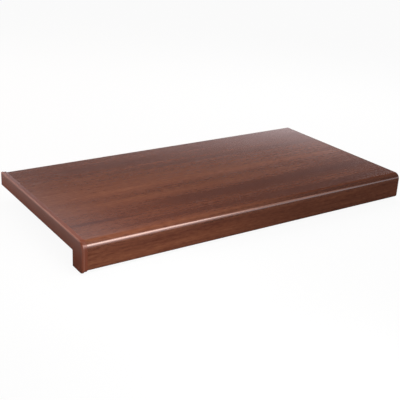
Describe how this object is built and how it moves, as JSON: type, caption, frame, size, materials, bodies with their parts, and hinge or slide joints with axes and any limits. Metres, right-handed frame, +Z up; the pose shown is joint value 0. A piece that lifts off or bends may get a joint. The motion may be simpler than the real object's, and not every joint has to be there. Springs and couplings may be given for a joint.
{
  "type": "window sill board",
  "caption": "Inner window sill board in wood-grain laminated plastic, a hollow extrusion with a rounded drop nose and a moulded end cap at the left end",
  "frame": {"origin": "middle of the ground under the level board, at the height of the cap's lowest point below the nose", "axes": "+X along the board from the capped left end to the cut right end, +Y from the nose toward the window, +Z up"},
  "size_m": [0.6, 0.3022, 0.0475],
  "materials": {
    "laminated_board": "brown plastic extrusion wrapped in a satin reddish-brown wood-grain film",
    "cap_plastic": "moulded brown plastic with a soft sheen"
  },
  "bodies": {
    "root": {"sill_board": "laminated_board", "end_cap": "cap_plastic"}
  },
  "joints": []
}
